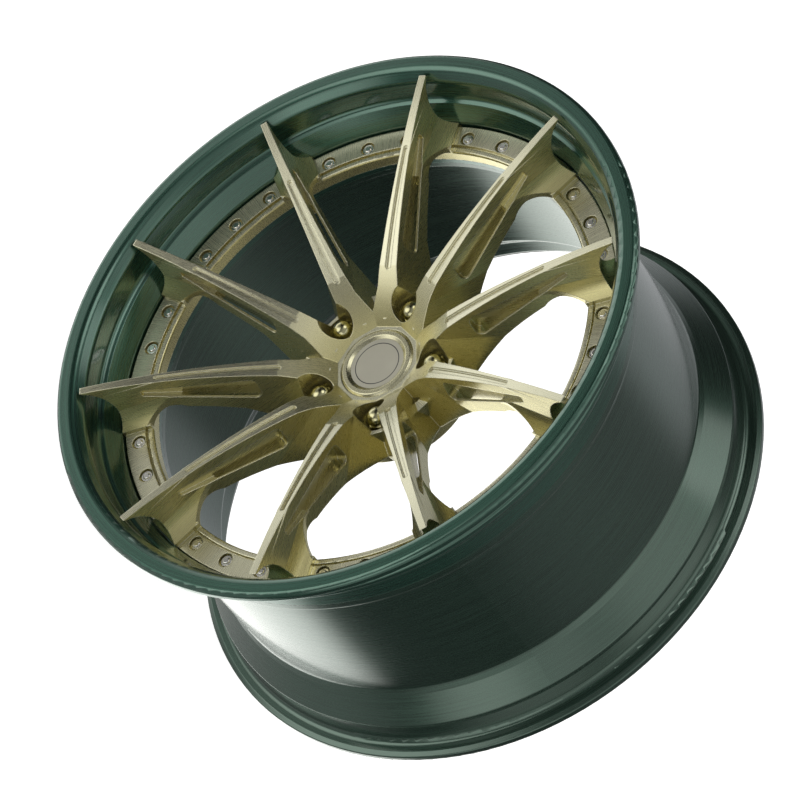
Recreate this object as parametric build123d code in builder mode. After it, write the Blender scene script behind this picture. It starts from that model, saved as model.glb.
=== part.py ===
"""Forged three-piece racing wheel, 20 x 10.5 inch, offset 25 mm.

The wheel's axis is Y, the outboard (face) side looks to -Y and +Z is up.
The origin is the wheel's centre: on the axis, half way between the flanges.
"depth" is always counted inboard (+Y) from the outboard flange's front face,
and "radius" from the wheel's axis. One spoke is drawn pointing to +Z.
"""

from build123d import *
import math
import os

os.makedirs("parts", exist_ok=True)

# ---------------------------------------------------------------- rim sizes
INCH = 25.4
rim_diameter = 20 * INCH
bead_width = 10.5 * INCH
flange_thickness = 10.0
flange_height = 17.5
offset_et = 25.0

bead_radius = rim_diameter / 2
flange_radius = bead_radius + flange_height
rim_width = bead_width + 2 * flange_thickness
mount_depth = rim_width / 2 - offset_et

# ------------------------------------------------- lip, barrel and joint
lip_bore = 233.2
lip_outer_wall = 239.8
barrel_outer = 234.5
barrel_inner = 229.0
joint_bore = 205.0
ring_radius = 231.9
land_depth = 52.7
ring_back = 64.7
lip_flange_back = 70.2
barrel_flange_back = 76.2
bead_groove_radius = 236.6

# --------------------------------------------------------- assembly bolts
bolt_circle = 219.8
bolt_step = 10.0
bolt_shank = 3.5
bolt_hole = 3.6
bolt_head = 5.4
bolt_dome = 3.4
counterbore = 6.6
counterbore_depth = 6.0
washer_radius = 6.8
washer_thickness = 1.2
nut_height = 7.0
nut_radius = 5.9

# ------------------------------------------------------------ wheel centre
spoke_count = 10
gap_angle = 360 / spoke_count
hub_top = 74.0
hub_back = 103.0
hub_flat = 73.0
hub_pad_radius = 72.5
foot_half = 19.5
foot_top = 48.5
rail_width = 5.8
rail_top = 53.4

# ------------------------------------------------------- hub interfaces
lug_count = 5
lug_circle = 56.0
lug_pocket = 14.0
lug_floor = 92.0
lug_hole = 7.5
seat_radius = 12.0
seat_back = 104.0
centre_bore = 33.3
cap_bore = 30.5
cap_seat = 34.4
cap_seat_depth = 78.0
cap_bore_back = 89.0

# ------------------------------------------------------------------- valve
valve_angle = 90.0
valve_depth = 100.0
valve_hole = 4.15
valve_thread = 4.0


def at_depth(depth):
    """Axial coordinate (Y) of a depth behind the outboard face."""
    return depth - rim_width / 2


def facing(depth):
    """Plane across the axis at a depth; its normal looks outboard."""
    return Plane.XZ.offset(-at_depth(depth))


def turned(points):
    """(radius, depth) pairs as points of the lathe plane."""
    return [(radius, at_depth(depth)) for radius, depth in points]


def side_on(points):
    """(radius, depth) pairs as points of the spoke's side view."""
    return [(at_depth(depth), radius) for radius, depth in points]


def around(radius, angle):
    """Point of the wheel's face at a radius and an angle from +X towards +Z."""
    turn = math.radians(angle)
    return (radius * math.cos(turn), radius * math.sin(turn))


gap_angles = [90 + gap_angle * i for i in range(spoke_count)]
bolt_angles = [a + bolt_step * side for a in gap_angles for side in (-1, 0, 1)]
bolt_points = [around(bolt_circle, a) for a in bolt_angles]
pad_angles = gap_angles[0::2]
lug_angles = gap_angles[1::2]
lug_points = [around(lug_circle, a) for a in lug_angles]

# ============================================================== outer lip
lip_outline = [
    (flange_radius, 0.0, 4.0),
    (255.5, 0.0, 8.0),
    (248.2, 10.0, 8.0),
    (247.6, 30.5, 5.0),
    (242.3, 32.9, 0.8),
    (lip_bore, 49.5, 3.0),
    (lip_bore, ring_back, 0.0),
    (joint_bore, ring_back, 0.0),
    (joint_bore, lip_flange_back, 0.0),
    (lip_outer_wall, lip_flange_back, 0.0),
    (lip_outer_wall, 53.0, 6.0),
    (250.2, 38.0, 4.0),
    (254.8, 34.5, 2.0),
    (254.8, 30.5, 2.0),
    (252.9, 28.0, 3.0),
    (bead_radius, flange_thickness, 6.5),
    (flange_radius - 4.5, flange_thickness, 2.0),
    (flange_radius, 8.0, 1.5),
]

with BuildPart() as outer_lip:
    with BuildSketch(Plane.XY):
        with BuildLine():
            FilletPolyline(
                *turned([p[:2] for p in lip_outline]),
                radius=[p[2] for p in lip_outline],
                close=True,
            )
        make_face()
    revolve(axis=Axis.Y)
    with BuildSketch(facing(ring_back)):
        with Locations(*bolt_points):
            Circle(bolt_hole)
    extrude(amount=-(lip_flange_back - ring_back), mode=Mode.SUBTRACT)

# =========================================================== inner barrel
barrel_outline = [
    (joint_bore, lip_flange_back, 0.0),
    (joint_bore, barrel_flange_back, 1.0),
    (barrel_inner, barrel_flange_back, 1.5),
    (barrel_inner, 229.5, 6.0),
    (238.0, 242.8, 3.0),
    (247.0, 255.5, 6.0),
    (248.2, 274.0, 4.0),
    (253.0, rim_width - 4.5, 0.6),
    (257.0, rim_width, 2.5),
    (flange_radius, rim_width, 4.0),
    (flange_radius, rim_width - 8.0, 1.5),
    (flange_radius - 4.5, rim_width - flange_thickness, 2.0),
    (bead_radius + 3.0, rim_width - flange_thickness, 6.0),
    (252.9, rim_width - 28.5, 3.0),
    (254.8, rim_width - 31.0, 2.0),
    (254.8, rim_width - 33.5, 2.0),
    (237.8, 229.6, 4.0),
    (barrel_outer, 224.0, 5.0),
    (barrel_outer, 84.0, 6.0),
    (lip_outer_wall, barrel_flange_back + 1.0, 2.0),
    (lip_outer_wall, lip_flange_back, 0.0),
]


def valve_plane(radius):
    """Plane across the valve at a distance from the wheel's axis."""
    x, z = around(radius, valve_angle)
    inward = (-math.cos(math.radians(valve_angle)), 0, -math.sin(math.radians(valve_angle)))
    return Plane(origin=(x, at_depth(valve_depth), z), x_dir=(0, 1, 0), z_dir=inward)


valve_seat_outer = barrel_outer - 0.4
valve_seat_inner = barrel_inner + 0.3
valve_seat_radius = 9.0
seal_groove_half = 1.1

with BuildPart() as inner_barrel:
    with BuildSketch(Plane.XY):
        with BuildLine():
            FilletPolyline(
                *turned([p[:2] for p in barrel_outline]),
                radius=[p[2] for p in barrel_outline],
                close=True,
            )
        make_face()
    revolve(axis=Axis.Y)
    with BuildSketch(Plane.XY):
        with Locations((bead_groove_radius, at_depth(lip_flange_back))):
            Rectangle(2 * seal_groove_half, 2 * seal_groove_half)
    revolve(axis=Axis.Y, mode=Mode.SUBTRACT)
    with BuildSketch(facing(lip_flange_back)):
        with Locations(*bolt_points):
            Circle(bolt_hole)
    extrude(amount=-(barrel_flange_back - lip_flange_back), mode=Mode.SUBTRACT)
    with BuildSketch(valve_plane(valve_seat_outer)):
        Circle(valve_seat_radius)
    extrude(amount=-4.0, mode=Mode.SUBTRACT)
    with BuildSketch(valve_plane(valve_seat_inner)):
        Circle(valve_seat_radius)
    extrude(amount=4.0, mode=Mode.SUBTRACT)
    with BuildSketch(valve_plane(valve_seat_outer + 1.0)):
        Circle(valve_hole)
    extrude(amount=10.0, mode=Mode.SUBTRACT)

with BuildPart() as rim_seal:
    with BuildSketch(Plane.XY):
        with Locations((bead_groove_radius, at_depth(lip_flange_back) + seal_groove_half / 2)):
            Rectangle(2 * seal_groove_half - 0.1, seal_groove_half - 0.05)
    revolve(axis=Axis.Y)

# =========================================================== wheel centre
# Side view of a spoke; every point is (radius, depth) and three of them make an arc.
face_outer = [(249.5, 1.5), (165.0, 16.2), (80.0, 43.5)]
face_inner = [(80.0, 43.5), (59.0, 56.6), (37.0, hub_top)]
fin_end = [(247.6, 3.6), (227.8, 26.0), (ring_radius, foot_top)]
arch = [(206.0, 59.0), (188.0, 43.2), (168.0, 49.0)]
rear_edge = [(168.0, 49.0), (125.0, 67.8), (82.0, 95.5)]
spoke_root = [(70.0, hub_back - 0.5), (36.5, hub_back - 0.5)]
# Flanks are planes: (half width, radius, depth) of a point, then the growth of the
# half width with depth and its loss with radius.
flank = [(3.1, 250.0, 1.5), 0.16, -0.008]
root_flank = [(18.6, 100.0, 82.0), 0.36, 0.05]
# Foot on the mounting ring: half widths at the top, waist and base, with their depths.
foot_section = [(4.6, 12.0), (8.6, 34.0), (foot_half, foot_top)]
foot_plan = [(foot_half, 208.0), (12.0, 194.0), (8.4, 168.0)]

with BuildLine() as side_view:
    ThreePointArc(*side_on(face_outer))
    ThreePointArc(*side_on(face_inner))
    Line(side_on(face_outer)[0], side_on(fin_end)[0])
    ThreePointArc(*side_on(fin_end))
    Polyline(*side_on([fin_end[-1], (ring_radius, 60.0), (206.0, 60.0), arch[0]]))
    ThreePointArc(*side_on(arch))
    ThreePointArc(*side_on(rear_edge))
    Polyline(*side_on([rear_edge[-1], *spoke_root, face_inner[-1]]))


def flank_plane(start, growth, loss, side):
    """Plane of a flank; side is 1 for +X and -1 for -X."""
    half, radius, depth = start
    return Plane(origin=(side * half, at_depth(depth), radius), z_dir=(side, -growth, loss))


def blade(shape):
    """Spoke body between two flank planes."""
    with BuildPart() as body:
        with BuildSketch(Plane.YZ):
            make_face(side_view.edges())
        extrude(amount=40, both=True)
        split(bisect_by=flank_plane(*shape, 1), keep=Keep.BOTTOM)
        split(bisect_by=flank_plane(*shape, -1), keep=Keep.BOTTOM)
    return body.part


with BuildPart() as foot:
    with BuildSketch(Plane.XY.offset(168.0)):
        with BuildLine():
            right = [(half, at_depth(depth)) for half, depth in foot_section]
            left = [(-half, y) for half, y in reversed(right)]
            ThreePointArc(*right)
            Polyline(right[-1], (foot_half, at_depth(60.0)), (-foot_half, at_depth(60.0)), left[0])
            ThreePointArc(*left)
            Line(left[-1], right[0])
        make_face()
    extrude(amount=66.0)
    with BuildSketch(facing(0.0)):
        with BuildLine():
            mirrored = [(-half, radius) for half, radius in reversed(foot_plan)]
            ThreePointArc(*foot_plan)
            Line(foot_plan[-1], mirrored[0])
            ThreePointArc(*mirrored)
            Polyline(mirrored[-1], (-foot_half, 240.0), (foot_half, 240.0), foot_plan[0])
        make_face()
    extrude(amount=-80.0, mode=Mode.INTERSECT)
    with BuildSketch(Plane.YZ):
        make_face(side_view.edges())
    extrude(amount=40, both=True, mode=Mode.INTERSECT)

# Side window between the spoke's front beam and its rear rail: (radius, depth).
window_outline = [(199.5, 16.8), (199.5, 23.8), (101.0, 63.5), (100.0, 41.0)]
window_radii = [2.6, 2.6, 6.0, 7.0]
keel_half = 2.4
# Slot that opens the window to the back, between keel and rail: (half width, radius).
slot_plan = [(keel_half, 104.0), (9.2, 104.0), (6.2, 168.0), (keel_half, 168.0)]
slot_side = [(168.0, 28.0), (168.0, 80.0), (104.0, 120.0), (104.0, 44.0)]
# Long groove of the spoke's face: radii of its ends, (half width, depth) of its two steps.
groove_ends = (77.0, 183.0)
groove_steps = [(2.9, 1.2), (1.7, 2.4)]
window_reach = 26.0

with BuildPart() as window_tool:
    with BuildSketch(Plane.YZ.offset(keel_half)):
        with BuildLine():
            FilletPolyline(*side_on(window_outline), radius=window_radii, close=True)
        make_face()
    extrude(amount=window_reach)

with BuildPart() as slot_tool:
    with BuildSketch(Plane.YZ):
        with BuildLine():
            Polyline(*side_on(slot_side), close=True)
        make_face()
    extrude(amount=window_reach)
    with BuildSketch(facing(0.0)):
        with BuildLine():
            FilletPolyline(*slot_plan, radius=[1.0, 3.0, 1.8, 1.0], close=True)
        make_face()
    extrude(amount=-140.0, mode=Mode.INTERSECT)


def groove_tool(half, sink):
    """Cutter for one step of the face groove, at a depth behind the face line."""
    inner, outer = groove_ends
    shrink = groove_steps[0][0] - half
    low = [(radius, depth + sink) for radius, depth in face_outer + face_inner]
    high = [(radius, depth - 12.0) for radius, depth in face_outer + face_inner]
    with BuildPart() as cutter:
        with BuildSketch(Plane.YZ):
            with BuildLine():
                for line in (low, high):
                    ThreePointArc(*side_on(line[:3]))
                    ThreePointArc(*side_on(line[3:]))
                Line(side_on(low)[0], side_on(high)[0])
                Line(side_on(low)[-1], side_on(high)[-1])
            make_face()
        extrude(amount=12.0, both=True)
        with BuildSketch(facing(0.0)):
            with BuildLine():
                FilletPolyline((-half, inner + shrink), (half, inner + shrink),
                               (0.72 * half, outer - shrink), (-0.72 * half, outer - shrink),
                               radius=[0.9 * half, 0.9 * half, 0.6 * half, 0.6 * half],
                               close=True)
            make_face()
        extrude(amount=-140.0, mode=Mode.INTERSECT)
    return cutter.part


with BuildPart() as spoke:
    add(blade(flank))
    add(blade(root_flank))
    add(foot.part)
    add(window_tool.part, mode=Mode.SUBTRACT)
    add(window_tool.part.mirror(Plane.YZ), mode=Mode.SUBTRACT)
    add(slot_tool.part, mode=Mode.SUBTRACT)
    add(slot_tool.part.mirror(Plane.YZ), mode=Mode.SUBTRACT)
    for half, sink in groove_steps:
        add(groove_tool(half, sink), mode=Mode.SUBTRACT)

ring_outline = [
    (ring_radius, land_depth, 0.8),
    (joint_bore + rail_width + 1.8, land_depth, 0.0),
    (joint_bore + rail_width + 1.8, 56.2, 0.0),
    (joint_bore + rail_width, 56.2, 0.0),
    (joint_bore + rail_width, rail_top, 1.2),
    (joint_bore, rail_top, 2.0),
    (joint_bore, ring_back, 0.0),
    (ring_radius, ring_back, 0.0),
]
cap_ring = 44.0
pad_half = 8.2
ridge_width = 3.0
ridge_top = 69.0
pad_slot_inner = 45.0
pad_slot_outer = 60.0
pad_slot_half = 4.2

with BuildPart() as wheel_centre:
    with BuildSketch(Plane.XY):
        with BuildLine():
            FilletPolyline(
                *turned([p[:2] for p in ring_outline]),
                radius=[p[2] for p in ring_outline],
                close=True,
            )
        make_face()
    revolve(axis=Axis.Y)
    with BuildSketch(facing(hub_top)):
        RegularPolygon(hub_flat, spoke_count, major_radius=False)
    extrude(amount=-(hub_back - hub_top))
    with BuildSketch(facing(hub_back)):
        Circle(hub_pad_radius)
    extrude(amount=-(mount_depth - hub_back))
    for angle in pad_angles:
        for side in (-1, 1):
            with BuildSketch(facing(hub_top + 1.0)):
                with Locations(Location(around((cap_ring + hub_flat) / 2, angle), angle)):
                    with Locations((0, side * (pad_half + ridge_width / 2))):
                        Rectangle(hub_flat - cap_ring + 6.0, ridge_width)
            extrude(amount=hub_top + 1.0 - ridge_top)
    with BuildSketch(facing(foot_top)):
        for angle in gap_angles:
            with Locations(Location(around((ring_radius + joint_bore) / 2, angle + gap_angle / 2),
                                    angle + gap_angle / 2)):
                Rectangle(ring_radius - joint_bore + 2.0, 2 * foot_half)
        Circle(ring_radius, mode=Mode.INTERSECT)
        Circle(joint_bore, mode=Mode.SUBTRACT)
    extrude(amount=-(ring_back - foot_top))
    for number in range(spoke_count):
        add(spoke.part.rotate(Axis.Y, gap_angle * (number + 0.5)))
    # bolt holes and counterbores of the mounting ring
    with BuildSketch(facing(40.0)):
        with Locations(*bolt_points):
            Circle(counterbore)
    extrude(amount=-(land_depth + counterbore_depth - 40.0), mode=Mode.SUBTRACT)
    with BuildSketch(facing(land_depth)):
        with Locations(*bolt_points):
            Circle(bolt_hole)
    extrude(amount=-(ring_back - land_depth), mode=Mode.SUBTRACT)
    # lug pockets, seat bores and stud holes
    with BuildSketch(facing(30.0)):
        with Locations(*lug_points):
            Circle(lug_pocket)
    extrude(amount=-(lug_floor - 30.0), mode=Mode.SUBTRACT)
    with BuildSketch(facing(lug_floor)):
        with Locations(*lug_points):
            Circle(seat_radius)
    extrude(amount=-(seat_back - lug_floor), mode=Mode.SUBTRACT)
    with BuildSketch(facing(seat_back)):
        with Locations(*lug_points):
            Circle(lug_hole)
    extrude(amount=-(mount_depth - seat_back), mode=Mode.SUBTRACT)
    # radial slots through the pads
    with BuildSketch(facing(hub_top)):
        for angle in pad_angles:
            middle = (pad_slot_inner + pad_slot_outer) / 2
            with Locations(Location(around(middle, angle), angle)):
                SlotCenterToCenter(pad_slot_outer - pad_slot_inner, 2 * pad_slot_half)
    extrude(amount=-(mount_depth - hub_top), mode=Mode.SUBTRACT)
    # hub bore from the back, cap bore and cap seat from the front
    with BuildSketch(facing(mount_depth)):
        Circle(centre_bore)
    extrude(amount=mount_depth - cap_bore_back, mode=Mode.SUBTRACT)
    with BuildSketch(facing(20.0)):
        Circle(cap_bore)
    extrude(amount=-(mount_depth - 20.0), mode=Mode.SUBTRACT)
    with BuildSketch(facing(20.0)):
        Circle(cap_seat)
    extrude(amount=-(cap_seat_depth - 20.0), mode=Mode.SUBTRACT)

# ============================================================== fasteners
head_top = 54.2
dome_top = 53.0
shank_end = 85.5
head_seat = land_depth + counterbore_depth
washer_back = barrel_flange_back + washer_thickness
star_flats = 5.0

with BuildPart() as bolt:
    with BuildSketch(facing(head_seat)):
        Circle(bolt_head)
    extrude(amount=1.4)
    with BuildSketch(facing(head_seat - 1.4)):
        RegularPolygon(star_flats, 6, major_radius=False)
        RegularPolygon(star_flats, 6, major_radius=False, rotation=30)
        Circle(bolt_head, mode=Mode.INTERSECT)
    extrude(amount=head_seat - 1.4 - head_top)
    chamfer(bolt.faces().sort_by(Axis.Y)[0].edges(), 0.4)
    with BuildSketch(facing(head_top)):
        Circle(bolt_dome)
    extrude(amount=head_top - dome_top)
    fillet(bolt.faces().sort_by(Axis.Y)[0].edges(), 1.1)
    with BuildSketch(facing(head_seat)):
        Circle(bolt_shank)
    extrude(amount=-(shank_end - head_seat))
    chamfer(bolt.faces().sort_by(Axis.Y)[-1].edges(), 0.6)

with BuildPart() as washer:
    with BuildSketch(facing(washer_back)):
        Circle(washer_radius)
        Circle(bolt_hole, mode=Mode.SUBTRACT)
    extrude(amount=washer_thickness)

with BuildPart() as nut:
    with BuildSketch(facing(washer_back + nut_height)):
        RegularPolygon(5.5, 6, major_radius=False)
        RegularPolygon(5.5, 6, major_radius=False, rotation=30)
        Circle(nut_radius, mode=Mode.INTERSECT)
    extrude(amount=nut_height)
    chamfer(nut.faces().sort_by(Axis.Y)[-1].edges(), 0.5)
    with BuildSketch(facing(washer_back)):
        Circle(washer_radius - 0.4)
    extrude(amount=-1.4)
    with BuildSketch(facing(washer_back)):
        Circle(bolt_shank + 0.05)
    extrude(amount=-nut_height, mode=Mode.SUBTRACT)


def at_each_bolt(piece):
    """Copies of a piece from the wheel's axis to every hole of the bolt circle."""
    copies = [Pos(x, 0, z) * piece for x, z in bolt_points]
    return Compound(children=copies)


# ========================================================= lug seats, nuts
cone_mouth = 11.0
cone_end = 101.0
cone_gap = 0.05
nut_collar = 11.6
nut_collar_top = 84.0
nut_flats = 9.5
nut_dome = 9.0
nut_dome_top = 66.5
stud_radius = 6.1
stud_depth = 22.0
nut_outline = [
    (0.0, cone_end, 0.0),
    (lug_hole - cone_gap, cone_end, 0.0),
    (cone_mouth - cone_gap, lug_floor, 0.0),
    (nut_collar, lug_floor - 1.5, 0.5),
    (nut_collar, nut_collar_top, 0.6),
    (nut_dome, nut_collar_top - 1.5, 0.0),
    (nut_dome, nut_dome_top, 8.0),
    (0.0, nut_dome_top, 0.0),
]

with BuildPart() as lug_seat:
    with BuildSketch(Plane.XY):
        with BuildLine():
            Polyline(*turned([(lug_hole, seat_back), (seat_radius, seat_back),
                              (seat_radius, lug_floor), (cone_mouth, lug_floor),
                              (lug_hole, cone_end)]), close=True)
        make_face()
    revolve(axis=Axis.Y)

with BuildPart() as lug_nut:
    with BuildSketch(facing(nut_collar_top + 1.0)):
        RegularPolygon(nut_flats, 6, major_radius=False)
    extrude(amount=9.0)
    chamfer(lug_nut.faces().sort_by(Axis.Y)[0].edges(), 0.7)
    with BuildSketch(Plane.XY):
        with BuildLine():
            FilletPolyline(
                *turned([p[:2] for p in nut_outline]),
                radius=[p[2] for p in nut_outline],
                close=True,
            )
        make_face()
    revolve(axis=Axis.Y)
    with BuildSketch(facing(cone_end)):
        Circle(stud_radius)
    extrude(amount=stud_depth, mode=Mode.SUBTRACT)


def at_each_lug(piece):
    """Copies of a piece from the wheel's axis to every lug hole."""
    copies = [Pos(x, 0, z) * piece for x, z in lug_points]
    return Compound(children=copies)


# ============================================================== centre cap
cap_radius = 34.2
cap_front = 73.6
badge_radius = 25.0
badge_sink = 1.2
cap_skirt = 28.0
cap_skirt_wall = 2.5
cap_skirt_back = 87.5
o_ring_depth = 82.5
o_ring_half = 1.3

with BuildPart() as centre_cap:
    with BuildSketch(Plane.XY):
        with BuildLine():
            FilletPolyline(
                *turned([(0.0, cap_front + badge_sink + 0.6), (badge_radius, cap_front + badge_sink + 0.6),
                         (badge_radius, cap_front + 0.6), (28.0, cap_front - 1.2),
                         (32.0, cap_front - 1.2), (cap_radius, cap_front + 0.8),
                         (cap_radius, cap_seat_depth), (cap_skirt, cap_seat_depth),
                         (cap_skirt, cap_skirt_back), (cap_skirt - cap_skirt_wall, cap_skirt_back),
                         (cap_skirt - cap_skirt_wall, cap_seat_depth), (0.0, cap_seat_depth)]),
                radius=[0, 0, 0.3, 1.2, 1.4, 0.8, 0.3, 0, 0.5, 0.5, 0, 0],
                close=True,
            )
        make_face()
    revolve(axis=Axis.Y)
    with BuildSketch(facing(o_ring_depth - o_ring_half)):
        Circle(cap_skirt + 1.0)
        Circle(cap_skirt - 1.2, mode=Mode.SUBTRACT)
    extrude(amount=-2 * o_ring_half, mode=Mode.SUBTRACT)

with BuildPart() as cap_badge:
    with BuildSketch(facing(cap_front + badge_sink + 0.6)):
        Circle(badge_radius - 0.1)
    extrude(amount=badge_sink - 0.1)

with BuildPart() as cap_o_ring:
    with BuildSketch(Plane.XY):
        with BuildLine():
            FilletPolyline(*turned([(cap_skirt - 1.2, o_ring_depth - o_ring_half + 0.05),
                                    (cap_bore - 0.05, o_ring_depth - o_ring_half + 0.05),
                                    (cap_bore - 0.05, o_ring_depth + o_ring_half - 0.05),
                                    (cap_skirt - 1.2, o_ring_depth + o_ring_half - 0.05)]),
                           radius=[0, 0.9, 0.9, 0], close=True)
        make_face()
    revolve(axis=Axis.Y)

# =================================================================== valve
# Every distance below is from the wheel's axis, along the valve.
grommet_outer = valve_seat_outer + 2.2
head_outer = grommet_outer + 2.2
stem_end = 200.0
stem_bore = 2.6
stem_step = 208.0
washer_inner = valve_seat_inner - 1.4
nut_inner = washer_inner - 5.0
core_end = 202.0
core_root = 214.0
core_radius = 2.55
pin_radius = 0.8
pin_hole = 0.9
pin_end = 200.6
pin_root = 215.3
cap_end = 195.0
cap_mouth = 206.5
cap_outer = 5.2
cap_hollow = 4.05
cap_floor = 197.4
seal_thickness = 1.5

with BuildPart() as valve_grommet:
    with BuildSketch(valve_plane(grommet_outer)):
        Circle(8.0)
        Circle(valve_thread + 0.05, mode=Mode.SUBTRACT)
    extrude(amount=grommet_outer - valve_seat_outer)
    fillet(valve_grommet.edges().filter_by(GeomType.CIRCLE).group_by(SortBy.RADIUS)[-1], 0.5)

with BuildPart() as valve_stem:
    with BuildSketch(valve_plane(head_outer)):
        Circle(7.6)
    extrude(amount=head_outer - grommet_outer)
    with BuildSketch(valve_plane(grommet_outer)):
        Circle(valve_thread)
    extrude(amount=grommet_outer - stem_step)
    with BuildSketch(valve_plane(stem_step)):
        Circle(valve_thread - 0.15)
    extrude(amount=stem_step - stem_end)
    with BuildSketch(valve_plane(head_outer)):
        Circle(stem_bore)
    extrude(amount=head_outer - stem_end, mode=Mode.SUBTRACT)

with BuildPart() as valve_washer:
    with BuildSketch(valve_plane(valve_seat_inner)):
        Circle(7.5)
        Circle(valve_thread + 0.05, mode=Mode.SUBTRACT)
    extrude(amount=valve_seat_inner - washer_inner)

with BuildPart() as valve_nut:
    with BuildSketch(valve_plane(washer_inner)):
        RegularPolygon(6.0, 6, major_radius=False)
        Circle(valve_thread + 0.05, mode=Mode.SUBTRACT)
    extrude(amount=washer_inner - nut_inner)

with BuildPart() as valve_core:
    with BuildSketch(valve_plane(core_root)):
        Circle(core_radius)
        Circle(pin_hole, mode=Mode.SUBTRACT)
    extrude(amount=core_root - core_end)

with BuildPart() as valve_pin:
    with BuildSketch(valve_plane(pin_root)):
        Circle(pin_radius)
    extrude(amount=pin_root - pin_end)
    with BuildSketch(valve_plane(pin_root)):
        Circle(1.7)
    extrude(amount=1.2)

with BuildPart() as valve_cap:
    with BuildSketch(valve_plane(cap_mouth)):
        Circle(cap_outer)
    extrude(amount=cap_mouth - cap_end)
    fillet(valve_cap.faces().sort_by(SortBy.DISTANCE)[0].edges(), 0.8)
    with BuildSketch(valve_plane(cap_mouth)):
        Circle(cap_hollow)
    extrude(amount=cap_mouth - cap_floor, mode=Mode.SUBTRACT)

with BuildPart() as valve_cap_seal:
    with BuildSketch(valve_plane(cap_floor)):
        Circle(cap_hollow - 0.05)
        Circle(1.6, mode=Mode.SUBTRACT)
    extrude(amount=-seal_thickness)

single_pieces = {
    "outer_lip": outer_lip,
    "inner_barrel": inner_barrel,
    "rim_seal": rim_seal,
    "wheel_centre": wheel_centre,
    "centre_cap": centre_cap,
    "cap_badge": cap_badge,
    "cap_o_ring": cap_o_ring,
    "valve_grommet": valve_grommet,
    "valve_stem": valve_stem,
    "valve_washer": valve_washer,
    "valve_nut": valve_nut,
    "valve_core": valve_core,
    "valve_pin": valve_pin,
    "valve_cap": valve_cap,
    "valve_cap_seal": valve_cap_seal,
}
for name, piece in single_pieces.items():
    piece.part.label = name
    export_step(piece.part, f"parts/{name}.step")

groups = {
    "assembly_bolts": at_each_bolt(bolt.part),
    "assembly_washers": at_each_bolt(washer.part),
    "assembly_nuts": at_each_bolt(nut.part),
    "lug_seats": at_each_lug(lug_seat.part),
    "lug_nuts": at_each_lug(lug_nut.part),
}
for name, group in groups.items():
    group.label = name
    export_step(group, f"parts/{name}.step")
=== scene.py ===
"""Looks of the three-piece forged wheel: materials, light, floor and camera."""

import bpy
from mathutils import Matrix, Vector


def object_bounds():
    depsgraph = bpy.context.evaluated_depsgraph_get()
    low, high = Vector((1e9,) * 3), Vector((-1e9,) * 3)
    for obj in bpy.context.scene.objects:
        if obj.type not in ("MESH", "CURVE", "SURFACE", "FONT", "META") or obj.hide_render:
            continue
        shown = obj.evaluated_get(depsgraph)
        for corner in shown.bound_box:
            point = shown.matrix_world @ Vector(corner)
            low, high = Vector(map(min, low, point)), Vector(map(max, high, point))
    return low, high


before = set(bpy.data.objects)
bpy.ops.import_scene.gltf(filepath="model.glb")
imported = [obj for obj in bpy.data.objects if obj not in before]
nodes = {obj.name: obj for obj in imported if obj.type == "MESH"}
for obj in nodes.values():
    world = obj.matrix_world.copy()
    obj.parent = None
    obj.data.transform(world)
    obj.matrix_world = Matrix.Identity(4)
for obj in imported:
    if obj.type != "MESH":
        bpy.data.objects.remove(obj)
cad_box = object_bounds()
scene = bpy.context.scene

# ------------------------------------------------------------------ camera
# Right, up and back directions of the camera, and its place, in the wheel's frame.
CAMERA_RIGHT = Vector((0.27767, 0.42853, 0.85980))
CAMERA_UP = Vector((-0.69454, -0.52879, 0.48786))
CAMERA_BACK = Vector((0.66372, -0.73263, 0.15079))
CAMERA_PLACE = Vector((2.5080, -2.7825, 0.5652))
CAMERA_LENS = 197.06


def toward(right, up, away):
    """Direction in the wheel's frame from the studio's left-right, up-down and depth."""
    return (CAMERA_RIGHT * right + CAMERA_UP * up - CAMERA_BACK * away).normalized()


def place_camera():
    data = bpy.data.cameras.new("studio_camera")
    data.sensor_width = 36.0
    data.lens = CAMERA_LENS
    data.clip_start = 0.05
    data.clip_end = 400.0
    camera = bpy.data.objects.new("studio_camera", data)
    scene.collection.objects.link(camera)
    turn = Matrix((CAMERA_RIGHT, CAMERA_UP, CAMERA_BACK)).transposed()
    camera.matrix_world = Matrix.Translation(CAMERA_PLACE) @ turn.to_4x4()
    scene.camera = camera


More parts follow.
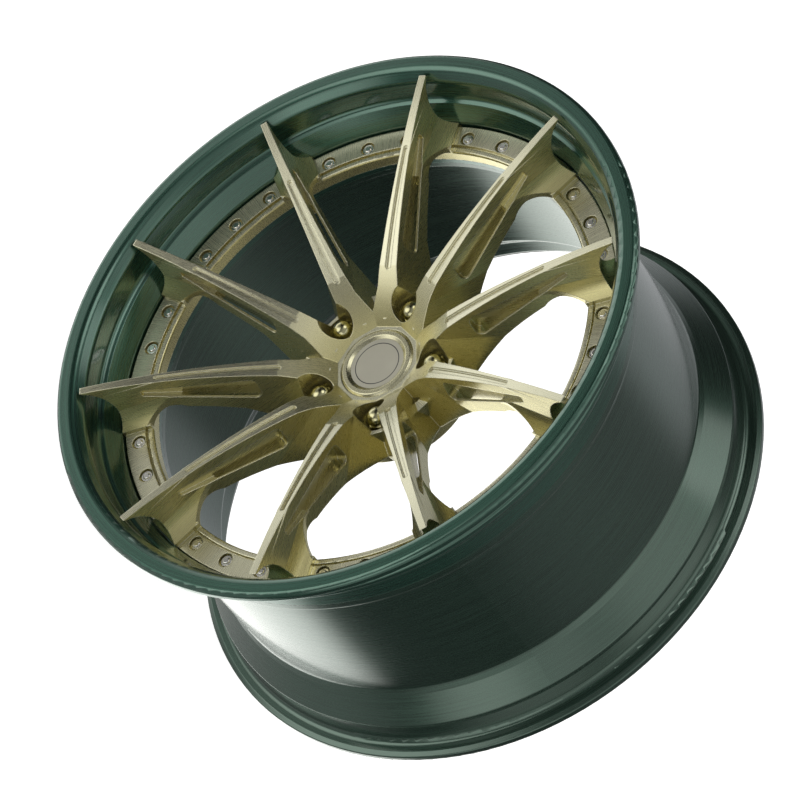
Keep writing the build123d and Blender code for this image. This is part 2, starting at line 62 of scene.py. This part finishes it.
# ------------------------------------------------------------- node helper
class Nodes:
    """Short calls for adding and wiring the nodes of one tree."""

    def __init__(self, tree):
        self.tree = tree

    def add(self, kind, **settings):
        node = self.tree.nodes.new(kind)
        for name, value in settings.items():
            setattr(node, name, value)
        return node

    def wire(self, source, target):
        self.tree.links.new(source, target)

    def feed(self, target, value):
        if hasattr(value, "is_linked"):
            self.wire(value, target)
        else:
            target.default_value = value

    def math(self, operation, *values):
        node = self.add("ShaderNodeMath", operation=operation)
        for socket, value in zip(node.inputs, values):
            self.feed(socket, value)
        return node.outputs[0]

    def vector(self, operation, *values, scale=None):
        node = self.add("ShaderNodeVectorMath", operation=operation)
        for socket, value in zip(node.inputs, values):
            self.feed(socket, value)
        if scale is not None:
            self.feed(node.inputs["Scale"], scale)
        return node.outputs["Value" if operation == "DOT_PRODUCT" else "Vector"]

    def split(self, vector):
        node = self.add("ShaderNodeSeparateXYZ")
        self.wire(vector, node.inputs[0])
        return node.outputs

    def join(self, x, y, z):
        node = self.add("ShaderNodeCombineXYZ")
        for socket, value in zip(node.inputs, (x, y, z)):
            self.feed(socket, value)
        return node.outputs[0]

    def noise(self, vector, scale=1.0, detail=2.0, roughness=0.5):
        node = self.add("ShaderNodeTexNoise", noise_dimensions="3D")
        self.wire(vector, node.inputs["Vector"])
        node.inputs["Scale"].default_value = scale
        node.inputs["Detail"].default_value = detail
        node.inputs["Roughness"].default_value = roughness
        return node.outputs["Fac"]

    def step(self, value, low, high, to_low=0.0, to_high=1.0):
        node = self.add("ShaderNodeMapRange", interpolation_type="SMOOTHSTEP")
        self.feed(node.inputs["Value"], value)
        self.feed(node.inputs["From Min"], low)
        self.feed(node.inputs["From Max"], high)
        self.feed(node.inputs["To Min"], to_low)
        self.feed(node.inputs["To Max"], to_high)
        return node.outputs["Result"]

    def mix(self, factor, first, second):
        node = self.add("ShaderNodeMix", data_type="RGBA")
        self.feed(node.inputs["Factor"], factor)
        self.feed(node.inputs["A"], first)
        self.feed(node.inputs["B"], second)
        return node.outputs["Result"]


def effect(name, inputs, outputs):
    """New shader node group with named inputs and outputs; inputs give (name, kind, default)."""
    tree = bpy.data.node_groups.new(name, "ShaderNodeTree")
    for label, kind, default in inputs:
        socket = tree.interface.new_socket(label, in_out="INPUT", socket_type=kind)
        socket.default_value = default
    for label, kind in outputs:
        tree.interface.new_socket(label, in_out="OUTPUT", socket_type=kind)
    n = Nodes(tree)
    return n, n.add("NodeGroupInput").outputs, n.add("NodeGroupOutput").inputs


# Kinds of socket that an effect can have.
FLOAT = "NodeSocketFloat"
COLOUR = "NodeSocketColor"
VECTOR = "NodeSocketVector"
# How far the edges of each kind of piece look rounded, in metres.
TURNED_EDGE = 0.0008
FORGED_EDGE = 0.0010
SMALL_EDGE = 0.0004
# Thin dark ring on the centre cap's disc: its radius, and where its line ends and fades, in metres.
BADGE_RING = 0.0205
RING_CLEAR = 0.0005
RING_SOLID = 0.0003
RING_COLOUR = (0.03, 0.03, 0.04)
# Painted highlight colours along the edges, brighter than the metal.
GOLD_EDGE_HIGHLIGHT_COLOUR = (0.93, 0.91, 0.72)
METAL_EDGE_HIGHLIGHT_COLOUR = (0.85, 0.84, 0.80)
# Cosine to the outboard direction where a gold face starts to be paler, and where it is fully pale.
PALE_START = 0.72
PALE_FULL = 0.95


def rolled_edge():
    """Normal rounded over sharp edges, as a deburred edge is, and a mask of those edges."""
    n, given, out = effect("rolled_edge", [("Radius", FLOAT, 0.0006)], [("Normal", VECTOR), ("Edge", FLOAT)])
    bevel = n.add("ShaderNodeBevel", samples=6)
    n.wire(given["Radius"], bevel.inputs["Radius"])
    true = n.add("ShaderNodeNewGeometry").outputs["Normal"]
    agree = n.vector("DOT_PRODUCT", bevel.outputs["Normal"], true)
    n.wire(bevel.outputs["Normal"], out["Normal"])
    n.wire(n.step(agree, 0.995, 0.80), out["Edge"])
    return n.tree


def turned_lines():
    """Fine lines that a lathe or a spinning brush leaves round the wheel's axis."""
    n, given, out = effect(
        "turned_lines",
        [
            ("Normal", VECTOR, (0, 0, 1)),
            ("Lines per metre", FLOAT, 900.0),
            ("Tilt", FLOAT, 0.1),
            ("Wander", FLOAT, 2.0),
        ],
        [("Normal", VECTOR), ("Lines", FLOAT)],
    )
    place = n.add("ShaderNodeTexCoord").outputs["Object"]
    x, y, z = n.split(place)
    radius = n.math("SQRT", n.math("ADD", n.math("MULTIPLY", x, x), n.math("MULTIPLY", z, z)))
    cosine = n.math("DIVIDE", x, radius)
    sine = n.math("DIVIDE", z, radius)
    lines = given["Lines per metre"]
    wander = given["Wander"]
    around = n.math("MULTIPLY_ADD", radius, lines, n.math("MULTIPLY", cosine, wander))
    coordinate = n.join(around, n.math("MULTIPLY", y, lines), n.math("MULTIPLY", sine, wander))
    pattern = n.noise(coordinate, detail=4.0, roughness=0.65)
    tangent = n.join(n.math("MULTIPLY", sine, -1.0), 0.0, cosine)
    lean = n.math("MULTIPLY", n.math("SUBTRACT", pattern, 0.5), given["Tilt"])
    tilted = n.vector("NORMALIZE", n.vector("ADD", given["Normal"], n.vector("SCALE", tangent, scale=lean)))
    n.wire(tilted, out["Normal"])
    n.wire(pattern, out["Lines"])
    return n.tree


def brushed_lines():
    """Straight brush lines that run out along the spokes."""
    n, given, out = effect(
        "brushed_lines",
        [("Normal", VECTOR, (0, 0, 1)), ("Density", FLOAT, 420.0), ("Tilt", FLOAT, 0.1)],
        [("Normal", VECTOR), ("Lines", FLOAT)],
    )
    place = n.add("ShaderNodeTexCoord").outputs["Object"]
    x, y, z = n.split(place)
    radius = n.math("SQRT", n.math("ADD", n.math("MULTIPLY", x, x), n.math("MULTIPLY", z, z)))
    cosine = n.math("DIVIDE", x, radius)
    sine = n.math("DIVIDE", z, radius)
    density = given["Density"]
    depth = n.math("MULTIPLY", y, n.math("MULTIPLY", density, 1.6))
    coordinate = n.join(
        n.math("MULTIPLY_ADD", cosine, density, depth),
        n.math("MULTIPLY", radius, 26.0),
        n.math("MULTIPLY", sine, density),
    )
    pattern = n.noise(coordinate, detail=3.0, roughness=0.6)
    across = n.join(n.math("MULTIPLY", sine, -1.0), 0.0, cosine)
    lean = n.math("MULTIPLY", n.math("SUBTRACT", pattern, 0.5), given["Tilt"])
    tilted = n.vector("NORMALIZE", n.vector("ADD", given["Normal"], n.vector("SCALE", across, scale=lean)))
    n.wire(tilted, out["Normal"])
    n.wire(pattern, out["Lines"])
    return n.tree


def cloudy_tone():
    """Slow drift of tone over a surface, as in a dyed coat or a handled part."""
    n, given, out = effect(
        "cloudy_tone",
        [("Colour", COLOUR, (0.5, 0.5, 0.5, 1.0)), ("Scale", FLOAT, 9.0), ("Amount", FLOAT, 0.15)],
        [("Colour", COLOUR)],
    )
    place = n.add("ShaderNodeTexCoord").outputs["Object"]
    scaled = n.vector("SCALE", place, scale=given["Scale"])
    cloud = n.noise(scaled, detail=3.0)
    swing = n.math("MULTIPLY", given["Amount"], 2.0)
    gain = n.math("ADD", 1.0, n.math("MULTIPLY", n.math("SUBTRACT", cloud, 0.5), swing))
    n.wire(n.vector("SCALE", given["Colour"], scale=gain), out["Colour"])
    return n.tree


ROLLED_EDGE = rolled_edge()
TURNED_LINES = turned_lines()
BRUSHED_LINES = brushed_lines()
CLOUDY_TONE = cloudy_tone()


def use(n, group, **values):
    """Places a shared effect in a material, with its own values."""
    node = n.add("ShaderNodeGroup")
    node.node_tree = group
    for name, value in values.items():
        n.feed(node.inputs[name.replace("_", " ")], value)
    return node.outputs


def new_material(name):
    material = bpy.data.materials.new(name)
    material.use_nodes = True
    tree = material.node_tree
    tree.nodes.clear()
    n = Nodes(tree)
    shader = n.add("ShaderNodeBsdfPrincipled")
    output = n.add("ShaderNodeOutputMaterial")
    n.wire(shader.outputs[0], output.inputs[0])
    return material, n, shader.inputs


def tone(r, g, b):
    return (r, g, b, 1.0)


def turned_green(name, colour, lines, tilt, wander, rough, coat_rough, anisotropic):
    """Machined aluminium under a translucent green lacquer."""
    material, n, shader = new_material(name)
    edge = use(n, ROLLED_EDGE, Radius=TURNED_EDGE)
    grooves = use(n, TURNED_LINES, Normal=edge["Normal"], Lines_per_metre=lines, Tilt=tilt, Wander=wander)
    tinted = use(n, CLOUDY_TONE, Colour=tone(*colour), Scale=6.0, Amount=0.08)
    dark = n.vector("SCALE", tinted["Colour"], scale=0.78)
    n.wire(n.mix(n.step(grooves["Lines"], 0.30, 0.70), dark, tinted["Colour"]), shader["Base Color"])
    n.wire(n.step(grooves["Lines"], 0.25, 0.75, rough * 0.85, rough * 1.2), shader["Roughness"])
    n.wire(grooves["Normal"], shader["Normal"])
    shader["Metallic"].default_value = 0.85
    shader["Anisotropic"].default_value = anisotropic
    shader["Coat Weight"].default_value = 1.0
    shader["Coat Roughness"].default_value = coat_rough
    shader["Coat IOR"].default_value = 1.6
    return material


def champagne(name, face_colour, side_colour, rough, tilt):
    """Brushed forging under a champagne gold tint; faces that look outboard are paler."""
    material, n, shader = new_material(name)
    edge = use(n, ROLLED_EDGE, Radius=FORGED_EDGE)
    brush = use(n, BRUSHED_LINES, Normal=edge["Normal"], Density=420.0, Tilt=tilt)
    normal = n.add("ShaderNodeNewGeometry").outputs["Normal"]
    outboard = n.step(n.math("MULTIPLY", n.split(normal)[1], -1.0), PALE_START, PALE_FULL)
    plain = n.mix(outboard, tone(*side_colour), tone(*face_colour))
    drift = use(n, CLOUDY_TONE, Colour=plain, Scale=14.0, Amount=0.10)
    darker = n.vector("SCALE", drift["Colour"], scale=0.92)
    lined = n.mix(n.step(brush["Lines"], 0.3, 0.7), darker, drift["Colour"])
    # Painted highlight: the edge mask mixes a brighter colour along the gold's edges.
    n.wire(n.mix(n.math("MULTIPLY", edge["Edge"], 0.9), lined, tone(*GOLD_EDGE_HIGHLIGHT_COLOUR)), shader["Base Color"])
    n.wire(n.step(brush["Lines"], 0.25, 0.75, rough * 0.85, rough * 1.2), shader["Roughness"])
    n.wire(brush["Normal"], shader["Normal"])
    shader["Metallic"].default_value = 0.88
    shader["Coat Weight"].default_value = 0.6
    shader["Coat Roughness"].default_value = 0.18
    return material


def plain_metal(name, colour, rough, lines, tilt, coat=0.0):
    """Turned or polished metal with fine lines round the wheel's axis."""
    material, n, shader = new_material(name)
    edge = use(n, ROLLED_EDGE, Radius=SMALL_EDGE)
    grooves = use(n, TURNED_LINES, Normal=edge["Normal"], Lines_per_metre=lines, Tilt=tilt, Wander=30.0)
    tinted = use(n, CLOUDY_TONE, Colour=tone(*colour), Scale=40.0, Amount=0.12)
    # Painted highlight: the edge mask mixes a brighter colour along the metal's edges.
    n.wire(n.mix(edge["Edge"], tinted["Colour"], tone(*METAL_EDGE_HIGHLIGHT_COLOUR)), shader["Base Color"])
    n.wire(n.step(grooves["Lines"], 0.25, 0.75, rough * 0.8, rough * 1.25), shader["Roughness"])
    n.wire(grooves["Normal"], shader["Normal"])
    shader["Metallic"].default_value = 1.0
    shader["Coat Weight"].default_value = coat
    return material


def ringed_disc(name, colour, rough):
    """Plain satin disc with a thin dark ring just inside its rim."""
    material, n, shader = new_material(name)
    normal = n.add("ShaderNodeNewGeometry").outputs["Normal"]
    grooves = use(n, TURNED_LINES, Normal=normal, Lines_per_metre=2400.0, Tilt=0.05)
    tinted = use(n, CLOUDY_TONE, Colour=tone(*colour), Scale=40.0, Amount=0.10)
    x, _, z = n.split(n.add("ShaderNodeTexCoord").outputs["Object"])
    radius = n.math("SQRT", n.math("ADD", n.math("MULTIPLY", x, x), n.math("MULTIPLY", z, z)))
    away = n.math("ABSOLUTE", n.math("SUBTRACT", radius, BADGE_RING))
    ring = n.step(away, RING_CLEAR, RING_SOLID)
    n.wire(n.mix(ring, tinted["Colour"], tone(*RING_COLOUR)), shader["Base Color"])
    n.wire(n.step(grooves["Lines"], 0.25, 0.75, rough * 0.8, rough * 1.25), shader["Roughness"])
    n.wire(grooves["Normal"], shader["Normal"])
    shader["Metallic"].default_value = 0.8
    return material


def rubber(name):
    material, n, shader = new_material(name)
    tinted = use(n, CLOUDY_TONE, Colour=tone(0.02, 0.02, 0.02), Scale=120.0, Amount=0.25)
    n.wire(tinted["Colour"], shader["Base Color"])
    place = n.add("ShaderNodeTexCoord").outputs["Object"]
    grain = n.noise(place, scale=2600.0, detail=2.0)
    n.wire(n.step(grain, 0.3, 0.7, 0.55, 0.75), shader["Roughness"])
    bump = n.add("ShaderNodeBump")
    bump.inputs["Strength"].default_value = 0.25
    bump.inputs["Distance"].default_value = 0.0002
    n.wire(grain, bump.inputs["Height"])
    n.wire(bump.outputs[0], shader["Normal"])
    return material


def finish_nodes():
    lip = turned_green("lip_green", (0.055, 0.145, 0.108), 700.0, 0.06, 2.0, 0.27, 0.10, 0.3)
    barrel = turned_green("barrel_green", (0.064, 0.122, 0.094), 850.0, 0.12, 3.0, 0.27, 0.14, 0.3)
    gold = champagne("centre_champagne", (0.67, 0.65, 0.48), (0.66, 0.60, 0.29), 0.28, 0.03)
    cap = plain_metal("cap_champagne", (0.64, 0.61, 0.42), 0.26, 900.0, 0.05, coat=0.5)
    badge = ringed_disc("badge_satin", (0.52, 0.50, 0.42), 0.38)
    bolt = plain_metal("bolt_polished", (0.86, 0.85, 0.82), 0.13, 600.0, 0.03)
    # Painted shade: the washers' dark colour stands for the shade in the bolt counterbores.
    shim = plain_metal("washer_painted_shade", (0.12, 0.12, 0.11), 0.32, 600.0, 0.03)
    lug = plain_metal("lug_champagne", (0.60, 0.57, 0.34), 0.20, 600.0, 0.04, coat=0.6)
    steel = plain_metal("seat_steel", (0.48, 0.47, 0.44), 0.30, 1500.0, 0.06)
    valve = plain_metal("valve_alloy", (0.50, 0.50, 0.50), 0.24, 1500.0, 0.05)
    brass = plain_metal("valve_brass", (0.66, 0.50, 0.24), 0.28, 1500.0, 0.05)
    black = rubber("seal_rubber")
    finishes = {
        "outer_lip": lip,
        "inner_barrel": barrel,
        "wheel_centre": gold,
        "centre_cap": cap,
        "cap_badge": badge,
        "assembly_bolts": bolt,
        "assembly_washers": shim,
        "assembly_nuts": bolt,
        "lug_seats": steel,
        "lug_nuts": lug,
        "valve_stem": valve,
        "valve_washer": valve,
        "valve_nut": valve,
        "valve_cap": valve,
        "valve_core": brass,
        "valve_pin": brass,
        "rim_seal": black,
        "cap_o_ring": black,
        "valve_grommet": black,
        "valve_cap_seal": black,
    }
    for name, material in finishes.items():
        slots = nodes[name].data.materials
        slots.clear()
        slots.append(material)


# ------------------------------------------------------------------- light
# Each soft light: direction it comes from, cosine where it starts and where it is full, colour.
SOFT_LIGHTS = [
    (toward(0.00, 0.00, 1.00), 0.20, 0.90, (0.05, 0.05, 0.05)),
    (toward(-0.28, -0.46, 0.84), 0.88, 0.975, (1.75, 1.75, 1.68)),
    (toward(0.50, 0.22, 0.84), 0.80, 0.95, (0.34, 0.35, 0.36)),
    (toward(0.86, -0.42, 0.29), 0.70, 0.95, (0.14, 0.14, 0.14)),
    (toward(-0.86, 0.36, -0.38), 0.86, 0.975, (1.60, 1.59, 1.50)),
    (toward(-0.62, 0.66, 0.42), 0.84, 0.985, (1.25, 1.25, 1.20)),
    (toward(0.40, 0.15, -0.90), 0.35, 0.95, (0.34, 0.34, 0.33)),
    (toward(-0.92, -0.28, 0.25), 0.60, 0.95, (0.32, 0.32, 0.31)),
    (toward(0.00, -0.82, -0.58), 0.72, 0.93, (0.40, 0.40, 0.38)),
    (toward(0.84, -0.20, -0.50), 0.72, 0.93, (0.48, 0.48, 0.45)),
    (toward(0.20, 0.75, -0.62), 0.95, 0.985, (1.60, 1.60, 1.52)),
    (toward(-0.45, -0.45, -0.77), 0.90, 0.985, (0.90, 0.90, 0.85)),
    (toward(0.80, 0.52, -0.30), 0.95, 0.985, (1.10, 1.10, 1.05)),
]
ROOM_TONE = (0.020, 0.021, 0.020)


def soft_studio():
    world = bpy.data.worlds.new("soft_studio")
    world.use_nodes = True
    world.node_tree.nodes.clear()
    n = Nodes(world.node_tree)
    looking = n.add("ShaderNodeTexCoord").outputs["Generated"]
    total = tone(*ROOM_TONE)
    for direction, start, full, colour in SOFT_LIGHTS:
        share = n.step(n.vector("DOT_PRODUCT", looking, tuple(direction)), start, full)
        glow = n.add("ShaderNodeMix", data_type="RGBA", blend_type="ADD")
        n.feed(glow.inputs["Factor"], share)
        n.feed(glow.inputs["A"], total)
        glow.inputs["B"].default_value = tone(*colour)
        total = glow.outputs["Result"]
    lights = n.add("ShaderNodeBackground")
    n.feed(lights.inputs["Color"], total)
    wall = n.add("ShaderNodeBackground")
    wall.inputs["Color"].default_value = tone(1.0, 1.0, 1.0)
    seen = n.add("ShaderNodeMixShader")
    n.wire(n.add("ShaderNodeLightPath").outputs["Is Camera Ray"], seen.inputs[0])
    n.wire(lights.outputs[0], seen.inputs[1])
    n.wire(wall.outputs[0], seen.inputs[2])
    n.wire(seen.outputs[0], n.add("ShaderNodeOutputWorld").inputs[0])
    scene.world = world


# Half the side of the floor, in metres: wide enough to fill the view to its horizon.
FLOOR_HALF = 150.0


def pale_floor():
    mesh = bpy.data.meshes.new("studio_floor")
    level = cad_box[0][2]
    corners = [(x * FLOOR_HALF, y * FLOOR_HALF, level) for x, y in ((-1, -1), (1, -1), (1, 1), (-1, 1))]
    mesh.from_pydata(corners, [], [(0, 1, 2, 3)])
    floor = bpy.data.objects.new("studio_floor", mesh)
    scene.collection.objects.link(floor)
    material, _, shader = new_material("floor_paint")
    shader["Base Color"].default_value = tone(0.80, 0.80, 0.80)
    shader["Roughness"].default_value = 0.9
    shader["Emission Color"].default_value = tone(1.0, 1.0, 1.0)
    shader["Emission Strength"].default_value = 0.95
    mesh.materials.append(material)
    floor.visible_glossy = False


place_camera()
finish_nodes()
soft_studio()
pale_floor()
scene.view_settings.view_transform = "Standard"
